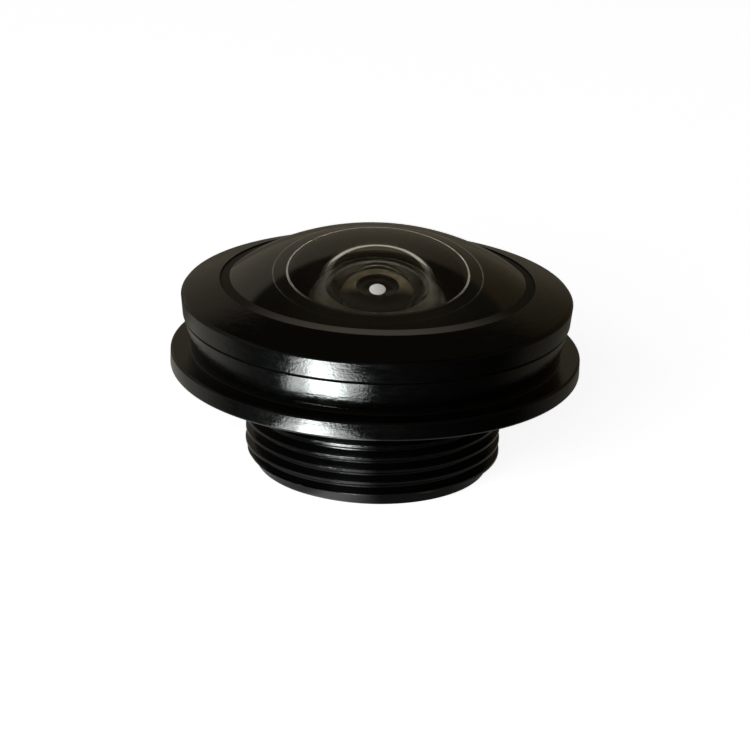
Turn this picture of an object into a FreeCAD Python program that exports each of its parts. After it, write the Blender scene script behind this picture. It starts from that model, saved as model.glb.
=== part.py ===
import FreeCAD, Part
import math
import os
import re
import Sketcher

# A wide-angle screw-in lens: domed front glass under a conical ring, a round seating flange
# and an M10 x 0.5 thread, with the stack of inner glasses, spacers and baffles it holds.
# The optical axis is Z. Height zero is the rear face of the barrel, and +Z looks out of the front.
# The half section of every turned piece is drawn in the XZ plane, as (radius, height) corners.

os.makedirs("parts", exist_ok=True)
doc = FreeCAD.newDocument("wide_angle_lens")

# Driving dimensions in millimetres, degrees for the angles, and shares of the pitch for the thread's flats
DIMENSIONS = {
    # Barrel outside, from the rear face up
    "pilot_radius": 4.57,
    "pilot_height": 0.40,
    "thread_radius": 5.0,
    "thread_pitch": 0.5,
    "thread_crest_share": 0.24,
    "thread_root_share": 0.08,
    "thread_flank_angle": 30,
    "thread_start": -0.08,
    "thread_lead": 0.15,
    "relief_depth": 0.05,
    "relief_width": 0.5,
    "flange_radius": 8.0,
    "flange_height": 4.0,
    "flange_thickness": 0.72,
    "waist_radius": 7.22,
    "waist_land": 0.26,
    "seam_radius": 7.55,
    "edge_break": 0.08,
    # Barrel inside, from the rear face up
    "filter_recess_radius": 3.1,
    "filter_ring_setback": 0.05,
    "web_opening": 2.0,
    "web_thickness": 0.60,
    "web_flare": 0.45,
    "lower_bore_radius": 2.55,
    "upper_bore_radius": 3.95,
    "seal_groove_inner": 5.25,
    "seal_groove_width": 0.8,
    "seal_groove_depth": 0.45,
    "neck_wall": 0.5,
    "neck_clearance": 0.1,
    # Front retaining ring
    "rim_radius": 7.63,
    "rim_break": 0.1,
    "cone_angle": 19,
    "lip_radius": 6.13,
    "lip_edge": 0.106,
    "roof_drop": 0.09,
    "seam_drop": 0.10,
    "seam_break": 0.03,
    # Fits
    "element_clearance": 0.02,
    "front_lens_clearance": 0.05,
    "thread_clearance": 0.02,
    "lip_clearance": 0.01,
    # Filter and its ring
    "filter_thickness": 0.30,
    "filter_ring_thickness": 0.20,
    "filter_ring_bore": 2.5,
    # Flat washers and spacers
    "baffle_thickness": 0.05,
    "middle_baffle_opening": 1.95,
    "front_baffle_opening": 2.95,
    "front_baffle_radius": 4.95,
    "rear_spacer_height": 0.50,
    "rear_spacer_bore": 1.95,
    "front_spacer_height": 0.34,
    "front_spacer_front_bore": 1.10,
    "front_spacer_rear_bore": 1.62,
    "stop_thickness": 0.05,
    "stop_radius": 0.39,
    "stop_gap": 0.146,
    "stop_spacer_bore": 2.2,
    "inner_ring_height": 0.31,
    "inner_ring_bore": 3.30,
    "inner_ring_flare": 0.2,
    "inner_ring_gap": 0.10,
    "notch_count": 2,
    "notch_width": 0.6,
    "notch_depth": 0.15,
    # Seal
    "seal_width": 0.74,
    "seal_bulge": 0.12,
    # Glass: curve is a surface's radius, clear is the radius of its polished part
    "front_lens_radius": 6.4,
    "front_lens_middle": 1.477,
    "front_lens_front_curve": 10.3,
    "front_lens_front_clear": 5.75,
    "front_lens_rear_curve": 3.35,
    "front_lens_rear_clear": 2.9,
    "second_lens_middle": 0.475,
    "second_lens_front_curve": 4.53,
    "second_lens_front_clear": 3.26,
    "second_lens_rear_curve": 2.055,
    "second_lens_rear_clear": 1.915,
    "third_lens_middle": 1.08,
    "third_lens_front_curve": 2.41,
    "third_lens_front_clear": 1.5,
    "third_lens_rear_curve": 50.0,
    "third_lens_rear_clear": 1.3,
    "fourth_lens_middle": 1.25,
    "fourth_lens_front_curve": 4.0,
    "fourth_lens_clear": 1.9,
    "cement_curve": 4.5,
    "cement_film": 0.01,
    "fifth_lens_middle": 0.40,
    "fifth_lens_rear_curve": 5.0,
    "fifth_lens_rear_clear": 1.6,
    "sixth_lens_edge": 0.60,
    "sixth_lens_front_curve": 5.0,
    "sixth_lens_rear_curve": 9.0,
    "sixth_lens_clear": 1.85,
}

sizes = doc.addObject("Spreadsheet::Sheet", "Sizes")
for row, (name, value) in enumerate(DIMENSIONS.items(), start=1):
    sizes.set(f"A{row}", name)
    sizes.set(f"B{row}", str(value))
    sizes.setAlias(f"B{row}", name)
doc.recompute()

# Sizes that follow from the driving ones are properties of one set, each with its formula
places = doc.addObject("App::VarSet", "Places")
FUNCTIONS = ("sqrt", "tan")


def qualified(formula):
    """The formula with each name led by the sheet or the set that holds it."""

    def lead(match):
        name = match.group()
        if name in FUNCTIONS:
            return name
        return f"Sizes.{name}" if name in DIMENSIONS else f"Places.{name}"

    return re.sub(r"[a-z_]+", lead, formula)


def place(name, formula):
    """A named size or height that follows from others."""
    places.addProperty("App::PropertyFloat", name)
    places.setExpression(name, qualified(formula))


def value_of(formula):
    """The formula's present value, as a plain number."""
    result = places.evalExpression(qualified(formula))
    return float(getattr(result, "Value", result))


def sag(curve, radius):
    """How far a spherical surface falls from its middle to a radius."""
    return f"({curve} - sqrt({curve}^2 - {radius}^2))"


# Heights of the stack, each piece seated on the one behind it
place("filter_rear", "filter_ring_setback + filter_ring_thickness")
place("web_rear", "filter_rear + filter_thickness")
place("web_front", "web_rear + web_thickness")
place("sixth_front", "web_front + sixth_lens_edge")
place("fifth_rear", "sixth_front + rear_spacer_height")
place("fifth_rear_apex", "fifth_rear + " + sag("fifth_lens_rear_curve", "fifth_lens_rear_clear"))
place("cement_apex", "fifth_rear_apex + fifth_lens_middle")
place("cement_edge", "cement_apex + " + sag("cement_curve", "fourth_lens_clear"))
place("fourth_front_apex", "cement_apex + cement_film + fourth_lens_middle")
place("fourth_front", "fourth_front_apex - " + sag("fourth_lens_front_curve", "fourth_lens_clear"))
place("stop_rear", "fourth_front_apex + stop_gap")
place("third_rear", "stop_rear + stop_thickness")
place("third_rear_apex", "third_rear + " + sag("third_lens_rear_curve", "third_lens_rear_clear"))
place("third_front_apex", "third_rear_apex + third_lens_middle")
place("third_front", "third_front_apex - " + sag("third_lens_front_curve", "third_lens_front_clear"))
place("middle_baffle_rear", "third_front + front_spacer_height")
place("second_rear", "middle_baffle_rear + baffle_thickness")
place("second_rear_apex", "second_rear + " + sag("second_lens_rear_curve", "second_lens_rear_clear"))
place("second_front_apex", "second_rear_apex + second_lens_middle")
place("second_front", "second_front_apex - " + sag("second_lens_front_curve", "second_lens_front_clear"))
place("inner_ring_front", "second_front + inner_ring_height")
place("shoulder", "inner_ring_front + inner_ring_gap")
place("seat", "shoulder + baffle_thickness")
place("front_rear_apex", "seat + " + sag("front_lens_rear_curve", "front_lens_rear_clear"))
place("apex", "front_rear_apex + front_lens_middle")

# Heights and radii of the barrel's head and of the ring that closes it
place("flange_top", "flange_height + flange_thickness")
place("waist_top", "flange_top + waist_land")
place("thread_crest_flat", "thread_pitch * thread_crest_share")
place("thread_root_flat", "thread_pitch * thread_root_share")
place("thread_groove_half", "(thread_pitch - thread_crest_flat) / 2")
place("thread_depth", "(thread_groove_half - thread_root_flat / 2) / tan(thread_flank_angle)")
place("thread_root", "thread_radius - thread_depth")
place("relief_radius", "thread_root - relief_depth")
place("relief_start", "flange_height - relief_width")
place("seam", "seat - seam_drop")
place("bevel_top", "apex - " + sag("front_lens_front_curve", "front_lens_front_clear"))
place("glass_at_lip", "bevel_top - (lip_radius - front_lens_front_clear) * tan(cone_angle)")
place("lip_top", "glass_at_lip + lip_edge")
place("rim", "lip_top - (rim_radius - lip_radius) * tan(cone_angle)")
place("roof", "rim - roof_drop")
place("neck_top", "roof - neck_clearance")
place("pocket_radius", "front_lens_radius + front_lens_clearance")
place("neck_radius", "pocket_radius + neck_wall")
place("ring_bore", "neck_radius + thread_clearance")
place("cap_radius", "pocket_radius + front_lens_clearance")
place("seal_groove_outer", "seal_groove_inner + seal_groove_width")
place("seal_middle", "seal_groove_inner + seal_groove_width / 2")
place("seal_floor", "shoulder - seal_groove_depth")
place("lower_radius", "lower_bore_radius - element_clearance")
place("upper_radius", "upper_bore_radius - element_clearance")
place("inner_ring_radius", "upper_bore_radius - thread_clearance")
place("filter_radius", "filter_recess_radius - element_clearance")
doc.recompute()


def origin_plane(body, role):
    """One of a body's own three origin planes."""
    return next(feature for feature in body.Origin.OriginFeatures if feature.Role == role)


def attached_sketch(body, name, role):
    """An empty sketch on one of the body's origin planes."""
    sketch = body.newObject("Sketcher::SketchObject", name)
    sketch.AttachmentSupport = [(origin_plane(body, role), "")]
    sketch.MapMode = "FlatFace"
    return sketch


def drive(sketch, constraint, formula):
    """Adds a dimension to the sketch and binds it to its formula."""
    index = sketch.addConstraint(constraint)
    sketch.setExpression(f"Constraints[{index}]", qualified(formula))


ORIGIN = (-1, 1)
HORIZONTAL_AXIS = -1
VERTICAL_AXIS = -2
START, END, CENTRE = 1, 2, 3
FULL_TURN = 360


def arc_about_axis(first, last):
    """The arc from one corner to another with its centre on the axis, and which of its ends is which."""
    (r1, z1), (r2, z2) = first, last
    centre = (r2**2 + z2**2 - r1**2 - z1**2) / (2 * (z2 - z1))
    circle = Part.Circle(
        FreeCAD.Vector(0, centre, 0),
        FreeCAD.Vector(0, 0, 1),
        math.hypot(r1, z1 - centre),
    )
    angle1 = math.atan2(z1 - centre, r1)
    angle2 = math.atan2(z2 - centre, r2)
    if angle1 < angle2:
        return Part.ArcOfCircle(circle, angle1, angle2), START, END
    return Part.ArcOfCircle(circle, angle2, angle1), END, START


def draw_section(sketch, corners):
    """A closed outline through (radius, height) corners. A third item "arc" makes the edge that
    leaves that corner an arc with its centre on the axis."""
    points = [(value_of(corner[0]), value_of(corner[1])) for corner in corners]
    ends = []
    for index, corner in enumerate(corners):
        here = points[index]
        there = points[(index + 1) % len(points)]
        if "arc" in corner[2:]:
            edge, first, last = arc_about_axis(here, there)
        else:
            edge, first, last = Part.LineSegment(FreeCAD.Vector(*here), FreeCAD.Vector(*there)), START, END
        geometry = sketch.addGeometry(edge, False)
        ends.append((geometry, first, last))
    for index, corner in enumerate(corners):
        geometry, first, last = ends[index]
        following = ends[(index + 1) % len(ends)]
        sketch.addConstraint(Sketcher.Constraint("Coincident", geometry, last, following[0], following[1]))
        if "arc" in corner[2:]:
            sketch.addConstraint(Sketcher.Constraint("PointOnObject", geometry, CENTRE, VERTICAL_AXIS))
    for index, corner in enumerate(corners):
        geometry, first, last = ends[index]
        radius, height = points[index]
        if corner[0] == "0":
            sketch.addConstraint(Sketcher.Constraint("PointOnObject", geometry, first, VERTICAL_AXIS))
        else:
            drive(sketch, Sketcher.Constraint("DistanceX", *ORIGIN, geometry, first, radius), corner[0])
        if corner[1] == "0":
            sketch.addConstraint(Sketcher.Constraint("PointOnObject", geometry, first, HORIZONTAL_AXIS))
        else:
            drive(sketch, Sketcher.Constraint("DistanceY", *ORIGIN, geometry, first, height), corner[1])


def turned(label, corners):
    """A body turned about the optical axis from its half section."""
    body = doc.addObject("PartDesign::Body", label)
    body.Label = label
    sketch = attached_sketch(body, f"{label}_section", "XZ_Plane")
    draw_section(sketch, corners)
    revolution = body.newObject("PartDesign::Revolution", f"{label}_turned")
    revolution.Profile = sketch
    revolution.ReferenceAxis = (sketch, ["V_Axis"])
    revolution.Angle = FULL_TURN
    return body


def washer(label, inner, outer, rear, front):
    """A flat ring between two heights."""
    return turned(label, [(inner, rear), (outer, rear), (outer, front), (inner, front)])


def cut_thread(body):
    """The external thread: a V groove swept up a helix, from clear of the lead to the relief."""
    sketch = attached_sketch(body, "thread_groove", "XZ_Plane")
    root_half = "thread_root_flat / 2"
    mouth = "thread_radius + thread_root_flat"
    mouth_half = "(thread_groove_half + thread_root_flat * tan(thread_flank_angle))"
    corners = [
        ("thread_root", f"thread_start - {root_half}"),
        (mouth, f"thread_start - {mouth_half}"),
        (mouth, f"thread_start + {mouth_half}"),
        ("thread_root", f"thread_start + {root_half}"),
    ]
    draw_section(sketch, corners)
    helix = body.newObject("PartDesign::SubtractiveHelix", "thread")
    helix.Profile = sketch
    helix.ReferenceAxis = (sketch, ["V_Axis"])
    helix.Mode = "pitch-height-angle"
    helix.setExpression("Pitch", qualified("thread_pitch"))
    helix.setExpression("Height", qualified("flange_height - relief_width / 2 - thread_start"))
    return helix


def cut_spanner_notches(body, outer, front):
    """Two opposite notches across the front face of a ring, for a pin spanner."""
    sketch = attached_sketch(body, f"{body.Label}_notch", "XZ_Plane")
    reach = f"{outer} + notch_depth"
    corners = [
        ("0", f"{front} - notch_depth"),
        (reach, f"{front} - notch_depth"),
        (reach, f"{front} + notch_depth"),
        ("0", f"{front} + notch_depth"),
    ]
    draw_section(sketch, corners)
    pocket = body.newObject("PartDesign::Pocket", f"{body.Label}_notch_cut")
    pocket.Profile = sketch
    pocket.Midplane = True
    pocket.setExpression("Length", qualified("notch_width"))
    pattern = body.newObject("PartDesign::PolarPattern", f"{body.Label}_notches")
    pattern.Originals = [pocket]
    pattern.Axis = (sketch, ["V_Axis"])
    pattern.Angle = FULL_TURN
    pattern.setExpression("Occurrences", qualified("notch_count"))
    body.Tip = pattern
    return pattern


def barrel():
    """The turned body: pilot, thread, flange, waist and neck outside, stepped bore inside."""
    body = turned(
        "barrel",
        [
            ("filter_recess_radius", "0"),
            ("pilot_radius", "0"),
            ("pilot_radius", "pilot_height"),
            ("thread_radius", "pilot_height + thread_lead"),
            ("thread_radius", "relief_start"),
            ("relief_radius", "relief_start"),
            ("relief_radius", "flange_height"),
            ("flange_radius - edge_break", "flange_height"),
            ("flange_radius", "flange_height + edge_break"),
            ("flange_radius", "flange_top - edge_break"),
            ("flange_radius - edge_break", "flange_top"),
            ("waist_radius", "flange_top"),
            ("waist_radius", "waist_top"),
            ("seam_radius - seam_break", "seam"),
            ("neck_radius", "seam"),
            ("neck_radius", "neck_top"),
            ("pocket_radius", "neck_top"),
            ("pocket_radius", "shoulder"),
            ("seal_groove_outer", "shoulder"),
            ("seal_groove_outer", "seal_floor"),
            ("seal_groove_inner", "seal_floor"),
            ("seal_groove_inner", "shoulder"),
            ("upper_bore_radius", "shoulder"),
            ("upper_bore_radius", "third_front"),
            ("lower_bore_radius", "third_front"),
            ("lower_bore_radius", "web_front"),
            ("web_opening", "web_front"),
            ("web_opening + web_flare", "web_rear"),
            ("filter_recess_radius", "web_rear"),
        ],
    )
    cut_thread(body)
    return body


def front_retaining_ring():
    """The ring screwed over the neck: sloping skirt, conical face, and the lip over the front lens."""
    cone = "tan(cone_angle)"
    lip_rear = "glass_at_lip + lip_clearance"
    return turned(
        "front_retaining_ring",
        [
            ("ring_bore", "seam"),
            ("seam_radius - seam_break", "seam"),
            ("seam_radius", "seam + seam_break"),
            ("rim_radius", "rim - rim_break"),
            ("rim_radius - rim_break", f"rim + rim_break * {cone}"),
            ("lip_radius", "lip_top"),
            ("lip_radius", lip_rear),
            ("cap_radius", f"{lip_rear} - (cap_radius - lip_radius) * {cone}"),
            ("cap_radius", "roof"),
            ("ring_bore", "roof"),
        ],
    )


def front_lens():
    """The domed meniscus: shallow sphere in front with a bevel that runs on under the ring's lip, deep
    hollow behind, flat seat round the hollow."""
    bevel_drop = "(front_lens_radius - front_lens_front_clear) * tan(cone_angle)"
    return turned(
        "front_lens",
        [
            ("0", "apex", "arc"),
            ("front_lens_front_clear", "bevel_top"),
            ("front_lens_radius", f"bevel_top - {bevel_drop}"),
            ("front_lens_radius", "seat"),
            ("front_lens_rear_clear", "seat", "arc"),
            ("0", "front_rear_apex"),
        ],
    )


def second_lens():
    """The second meniscus, with a flat rim round both curves."""
    return turned(
        "second_lens",
        [
            ("0", "second_front_apex", "arc"),
            ("second_lens_front_clear", "second_front"),
            ("upper_radius", "second_front"),
            ("upper_radius", "second_rear"),
            ("second_lens_rear_clear", "second_rear", "arc"),
            ("0", "second_rear_apex"),
        ],
    )


def third_lens():
    """The thick positive lens in front of the stop."""
    return turned(
        "third_lens",
        [
            ("0", "third_front_apex", "arc"),
            ("third_lens_front_clear", "third_front"),
            ("lower_radius", "third_front"),
            ("lower_radius", "third_rear"),
            ("third_lens_rear_clear", "third_rear", "arc"),
            ("0", "third_rear_apex"),
        ],
    )


def fourth_lens():
    """The positive half of the cemented pair, lying in the hollow of the fifth lens."""
    return turned(
        "fourth_lens",
        [
            ("0", "fourth_front_apex", "arc"),
            ("fourth_lens_clear", "fourth_front"),
            ("fourth_lens_clear", "cement_edge + cement_film", "arc"),
            ("0", "cement_apex + cement_film"),
        ],
    )


def fifth_lens():
    """The negative half of the cemented pair, hollow on both sides."""
    return turned(
        "fifth_lens",
        [
            ("0", "cement_apex", "arc"),
            ("fourth_lens_clear", "cement_edge"),
            ("lower_radius", "cement_edge"),
            ("lower_radius", "fifth_rear"),
            ("fifth_lens_rear_clear", "fifth_rear", "arc"),
            ("0", "fifth_rear_apex"),
        ],
    )


def sixth_lens():
    """The rear lens, bulging on both sides of its flat rim."""
    return turned(
        "sixth_lens",
        [
            ("0", "sixth_front + " + sag("sixth_lens_front_curve", "sixth_lens_clear"), "arc"),
            ("sixth_lens_clear", "sixth_front"),
            ("lower_radius", "sixth_front"),
            ("lower_radius", "web_front"),
            ("sixth_lens_clear", "web_front", "arc"),
            ("0", "web_front - " + sag("sixth_lens_rear_curve", "sixth_lens_clear")),
        ],
    )


def inner_retaining_ring():
    """The ring that screws down on the second lens, with a flared mouth and two spanner notches."""
    body = turned(
        "inner_retaining_ring",
        [
            ("inner_ring_bore", "second_front"),
            ("inner_ring_radius", "second_front"),
            ("inner_ring_radius", "inner_ring_front"),
            ("inner_ring_bore + inner_ring_flare", "inner_ring_front"),
        ],
    )
    cut_spanner_notches(body, "inner_ring_radius", "inner_ring_front")
    return body


def front_spacer():
    """The spacer between the second and third lenses, its bore a cone that clears the third lens's dome."""
    return turned(
        "front_spacer",
        [
            ("front_spacer_rear_bore", "third_front"),
            ("upper_radius", "third_front"),
            ("upper_radius", "middle_baffle_rear"),
            ("front_spacer_front_bore", "middle_baffle_rear"),
        ],
    )


def aperture_stop():
    """The thin disc whose small hole sets the aperture, sharpened to an edge at its rear."""
    return turned(
        "aperture_stop",
        [
            ("stop_radius", "stop_rear"),
            ("lower_radius", "stop_rear"),
            ("lower_radius", "third_rear"),
            ("stop_radius + stop_thickness", "third_rear"),
        ],
    )


def front_seal_ring():
    """The rubber ring pressed flat between the groove's floor and the front lens, with bulging sides."""
    half = "seal_width / 2"
    level = "(seal_floor + seat) / 2"
    return turned(
        "front_seal_ring",
        [
            (f"seal_middle - {half} + seal_bulge", "seal_floor"),
            (f"seal_middle + {half} - seal_bulge", "seal_floor"),
            (f"seal_middle + {half}", level),
            (f"seal_middle + {half} - seal_bulge", "seat"),
            (f"seal_middle - {half} + seal_bulge", "seat"),
            (f"seal_middle - {half}", level),
        ],
    )


bodies = [
    barrel(),
    front_retaining_ring(),
    front_seal_ring(),
    front_lens(),
    washer("front_baffle", "front_baffle_opening", "front_baffle_radius", "shoulder", "seat"),
    inner_retaining_ring(),
    second_lens(),
    washer("middle_baffle", "middle_baffle_opening", "upper_radius", "middle_baffle_rear", "second_rear"),
    front_spacer(),
    third_lens(),
    aperture_stop(),
    washer("stop_spacer", "stop_spacer_bore", "lower_radius", "cement_edge", "stop_rear"),
    fourth_lens(),
    fifth_lens(),
    washer("rear_spacer", "rear_spacer_bore", "lower_radius", "sixth_front", "fifth_rear"),
    sixth_lens(),
    turned("ir_cut_filter", [("0", "filter_rear"), ("filter_radius", "filter_rear"),
                             ("filter_radius", "web_rear"), ("0", "web_rear")]),
    washer("filter_retaining_ring", "filter_ring_bore", "filter_radius", "filter_ring_setback",
           "filter_rear"),
]
doc.recompute()

for item in doc.Objects:
    if "Invalid" in item.State or "Error" in item.State:
        raise RuntimeError(f"{item.Label} is {item.State}")
for body in bodies:
    shape = body.Shape
    if shape.isNull() or not shape.isValid() or len(shape.Solids) != 1:
        raise RuntimeError(f"{body.Label} is not one valid solid")
    shape.exportStep(f"parts/{body.Label}.step")
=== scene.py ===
import math

import bpy
import bmesh
from mathutils import Matrix, Vector

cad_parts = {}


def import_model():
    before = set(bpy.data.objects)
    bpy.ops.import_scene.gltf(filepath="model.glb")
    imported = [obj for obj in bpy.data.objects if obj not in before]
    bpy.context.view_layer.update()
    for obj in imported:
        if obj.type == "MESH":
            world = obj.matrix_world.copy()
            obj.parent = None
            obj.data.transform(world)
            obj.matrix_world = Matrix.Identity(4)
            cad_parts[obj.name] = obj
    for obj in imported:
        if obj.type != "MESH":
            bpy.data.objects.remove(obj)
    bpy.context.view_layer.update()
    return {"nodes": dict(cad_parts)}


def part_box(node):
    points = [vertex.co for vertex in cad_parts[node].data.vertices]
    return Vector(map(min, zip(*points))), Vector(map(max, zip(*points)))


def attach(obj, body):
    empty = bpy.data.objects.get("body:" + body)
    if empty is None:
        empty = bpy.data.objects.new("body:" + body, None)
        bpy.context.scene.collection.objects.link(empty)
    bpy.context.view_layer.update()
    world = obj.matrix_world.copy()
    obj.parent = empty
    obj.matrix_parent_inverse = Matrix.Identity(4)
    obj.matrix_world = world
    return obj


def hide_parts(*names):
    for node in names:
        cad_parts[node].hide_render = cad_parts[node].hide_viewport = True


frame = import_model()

# Looks of a wide-angle screw-in lens. Lengths are in millimetres until a mesh is made.
MM = 0.001
TAU = 2 * math.pi


# Sizes taken from the frame
def extent(node):
    """Outer radius, rear height and front height of a CAD node, in millimetres."""
    low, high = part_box(node)
    return high.x / MM, low.z / MM, high.z / MM


def sag(curve, radius):
    """How far a spherical surface falls from its middle to a radius."""
    return curve - math.sqrt(curve * curve - radius * radius)


FLANGE_R, _, NECK_TOP = extent("barrel")
RIM_R, SEAM_Z, RING_TOP = extent("front_retaining_ring")
DOME_R, SEAT, APEX = extent("front_lens")
BAFFLE_R, SHOULDER, _ = extent("front_baffle")
INNER_RING_R, INNER_RING_REAR, INNER_RING_FRONT = extent("inner_retaining_ring")
UPPER_R, SECOND_REAR, SECOND_APEX = extent("second_lens")
_, MID_BAFFLE_REAR, _ = extent("middle_baffle")
_, SPACER_REAR, _ = extent("front_spacer")
LOWER_R, THIRD_REAR, THIRD_APEX = extent("third_lens")
_, STOP_REAR, STOP_FRONT = extent("aperture_stop")
_, STOP_SPACER_REAR, _ = extent("stop_spacer")
_, _, FOURTH_APEX = extent("fourth_lens")
_, FIFTH_REAR, FIFTH_FRONT = extent("fifth_lens")
_, REAR_SPACER_REAR, _ = extent("rear_spacer")
_, SIXTH_REAR_APEX, SIXTH_FRONT_APEX = extent("sixth_lens")
FILTER_R, FILTER_REAR, FILTER_FRONT = extent("ir_cut_filter")
_, RING_REAR, _ = extent("filter_retaining_ring")
_, SEAL_FLOOR, _ = extent("front_seal_ring")

# Outside of the barrel and the front ring
FLANGE_Z = 4.0
FLANGE_TOP = 4.72
FLANGE_EDGE = 0.07
WAIST_R = 7.22
WAIST_TOP = 4.98
SEAM_R = 7.55
SEAM_DEPTH = 0.075
CONE_RISE = math.tan(math.radians(19))
LIP_R = 6.13
LIP_DROP = 0.043
LIP_TOP = RING_TOP - LIP_DROP
LIP_THICKNESS = 0.055
RIM_Z = LIP_TOP - (RIM_R - LIP_R) * CONE_RISE
RIM_EDGE = 0.1
RING_BORE_R = 6.97
RING_CAP_R = 6.5
RING_ROOF = RIM_Z - 0.09

# Pilot and thread
PILOT_R = 4.57
PILOT_TOP = 0.40
THREAD_R = 5.0
PITCH = 0.5
THREAD_START = -0.08
THREAD_TOP = 3.5
LEAD = 0.15
RUN_OUT = 0.04
CREST_SHARE = 0.24
ROOT_SHARE = 0.08
FLANK = math.radians(30)
CREST_BLUNT = 0.010
CREST_BLUNT_REACH = 0.03
RELIEF_R = 4.63
RELIEF_START = THREAD_TOP + 0.06
WALL_OVERLAP = 0.001

# Inside of the barrel
NECK_R = 6.95
POCKET_R = 6.45
GROOVE_OUT_R = 6.05
GROOVE_IN_R = 5.25
UPPER_BORE_R = 3.95
LOWER_BORE_R = 2.55
WEB_R = 2.0
WEB_FLARE = 0.45
WEB_TOP = REAR_SPACER_REAR - 0.4
RECESS_R = 3.1

# Front glass
FRONT_CURVE = 10.3
BEVEL_R = 5.75
HOLLOW_CURVE = 3.35
HOLLOW_R = 2.9
HOLLOW_EDGE = 0.02
GROUND_OUT = 0.04
LINE_OUT_R = 3.43
LINE_IN_R = 3.38

# Inner glasses: front curve and clear radius, then rear curve and clear radius
SECOND = (4.53, 3.26, 2.055, 1.915)
THIRD = (2.41, 1.5, 50.0, 1.3)
SIXTH = (5.0, 1.85, 9.0, 1.85)
PAIR = (4.0, 1.9, 5.0, 1.6)
GLASS_EDGE = 0.03

# Bores and small clearances
STOP_R = 0.39
STOP_LESS = 0.05
AIR = 0.004

# Fineness of the meshes
AROUND = 288
BARREL_AROUND = 240
DOME_AROUND = 256
INNER_AROUND = 192
DOME_STEPS = 56
INNER_STEPS = 40
SHARP = math.radians(32)
THREAD_SHARP = math.radians(28)
DOME_SHARP = math.radians(12)
INNER_SHARP = math.radians(20)
ON_AXIS = 1e-6
WELD = 2e-5


# Mesh helpers
def soften(corners, steps=4):
    """An outline in which each (radius, height, size) corner is rounded by its size, and a corner
    of two numbers is left as it is."""
    out = []
    count = len(corners)
    for i, corner in enumerate(corners):
        here = Vector(corner[:2])
        size = corner[2] if len(corner) > 2 else 0
        if not size:
            out.append((here.x, here.y))
            continue
        before = Vector(corners[i - 1][:2]) - here
        after = Vector(corners[(i + 1) % count][:2]) - here
        size = min(size, before.length * 0.45, after.length * 0.45)
        a = here + before.normalized() * size
        b = here + after.normalized() * size
        for k in range(steps + 1):
            t = k / steps
            p = a.lerp(here, t).lerp(here.lerp(b, t), t)
            out.append((p.x, p.y))
    return out


def arc(r0, z0, r1, z1, curve, steps, bulge):
    """Points on a sphere with its centre on the axis, from one point to another, without the first.
    bulge is 1 where the centre lies below the surface and -1 where it lies above."""
    a0 = math.asin(min(r0 / curve, 1))
    a1 = math.asin(min(r1 / curve, 1))
    centre = z0 - bulge * curve * math.cos(a0)
    points = []
    for k in range(1, steps + 1):
        a = a0 + (a1 - a0) * k / steps
        points.append((curve * math.sin(a), centre + bulge * curve * math.cos(a)))
    points[-1] = (r1, z1)
    return points


def finish_mesh(name, bm, sharp):
    """A piece from a mesh in millimetres, smooth but for the edges sharper than an angle."""
    bmesh.ops.recalc_face_normals(bm, faces=bm.faces)
    mesh = bpy.data.meshes.new(name)
    bm.to_mesh(mesh)
    bm.free()
    mesh.transform(Matrix.Scale(MM, 4))
    for polygon in mesh.polygons:
        polygon.use_smooth = True
    mesh.set_sharp_from_angle(angle=sharp)
    piece = bpy.data.objects.new(name, mesh)
    bpy.context.scene.collection.objects.link(piece)
    return piece


def circle(bm, r, z, around):
    """A ring of points at a radius and height."""
    return [bm.verts.new((r * math.cos(TAU * k / around), r * math.sin(TAU * k / around), z))
            for k in range(around)]


def band(bm, a, b, around):
    """Faces between two rings of points. A ring of one point is a pole on the axis."""
    for k in range(around):
        j = (k + 1) % around
        if len(a) == 1:
            bm.faces.new((a[0], b[k], b[j]))
        elif len(b) == 1:
            bm.faces.new((a[k], b[0], a[j]))
        else:
            bm.faces.new((a[k], b[k], b[j], a[j]))


def lathe(name, outline, around, closed=True, sharp=SHARP):
    """A piece turned about Z from an outline of (radius, height) points. An outline that isn't closed
    starts and ends on the axis."""
    bm = bmesh.new()
    rings = [[bm.verts.new((0, 0, z))] if r < ON_AXIS else circle(bm, r, z, around) for r, z in outline]
    if closed:
        rings.append(rings[0])
    for a, b in zip(rings, rings[1:]):
        band(bm, a, b, around)
    return finish_mesh(name, bm, sharp)


def paint_faces(piece, slot_of):
    """Gives each face the material slot that slot_of(radius, height, normal) names for its middle."""
    for polygon in piece.data.polygons:
        c = polygon.center / MM
        polygon.material_index = slot_of(math.hypot(c.x, c.y), c.z, polygon.normal)


# Material helpers
def scaled(shade, share):
    """A shade times a share of itself."""
    return tuple(c * share for c in shade)


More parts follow.
